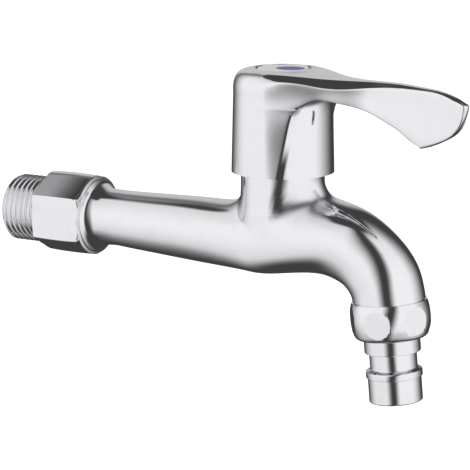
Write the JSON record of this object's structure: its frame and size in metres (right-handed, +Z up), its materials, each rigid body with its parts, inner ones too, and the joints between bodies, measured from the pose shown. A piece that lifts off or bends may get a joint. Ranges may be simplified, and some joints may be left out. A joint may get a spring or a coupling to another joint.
{
  "type": "wall-mounted tap",
  "caption": "Chromed wall-mounted tap with a quarter-turn lever handle, a spanner hexagon, a threaded inlet and a screwed hose nozzle on its down-turned spout.",
  "frame": {"origin": "centre of the hexagon's wall-side face, on the axis of the inlet thread", "axes": "+X away from the wall along the inlet, +Z up along the handle's axis, +Y to the left seen from the wall"},
  "size_m": [0.1579, 0.0308, 0.0967],
  "materials": {
    "chromed_casting": "polished",
    "chromed_handle": "polished",
    "chromed_turning": "polished",
    "brass": "machined",
    "rubber": "matte",
    "white_plastic": "satin",
    "spring_steel": "plated",
    "stainless_sheet": "satin",
    "ceramic": "lapped",
    "button_plastic": "gloss",
    "mark_plastic": "gloss"
  },
  "bodies": {
    "tap_body": {"body": "chromed_casting", "headwork_housing": "brass", "headwork_gasket": "rubber", "fixed_disc": "ceramic", "disc_seal": "rubber"},
    "handle_set": {"handle": "chromed_handle", "spline_bush": "white_plastic", "lock_washer": "spring_steel", "handle_screw": "spring_steel", "index_button": "button_plastic", "index_mark": "mark_plastic", "spindle": "brass", "spindle_oring_lower": "rubber", "spindle_oring_upper": "rubber", "thrust_washer": "white_plastic", "spindle_circlip": "spring_steel", "moving_disc": "ceramic"},
    "nozzle": {"hose_nozzle": "chromed_turning", "nozzle_gasket": "rubber", "nozzle_strainer": "stainless_sheet"},
    "nut": {"outlet_nut": "chromed_turning"}
  },
  "joints": [
    {"name": "handle_turn", "type": "hinge", "parent": "tap_body", "child": "handle_set", "pos_m": [0.0832, 0, 0], "axis": [0, 0, 1], "range_deg": [0, 90]},
    {"name": "nozzle_drop", "type": "slide", "parent": "tap_body", "child": "nozzle", "axis": [0.0924, 0, -0.9957], "range_m": [0, 0.0054]},
    {"name": "nut_turn", "type": "hinge", "parent": "nozzle", "child": "nut", "pos_m": [0.1189, 0, -0.0149], "axis": [0.0924, 0, -0.9957], "range_deg": [0, 1080]}
  ],
  "couplings": [
    {"joint": "nut_turn", "follows": "nozzle_drop", "rad_per_m": 3463.7}
  ]
}
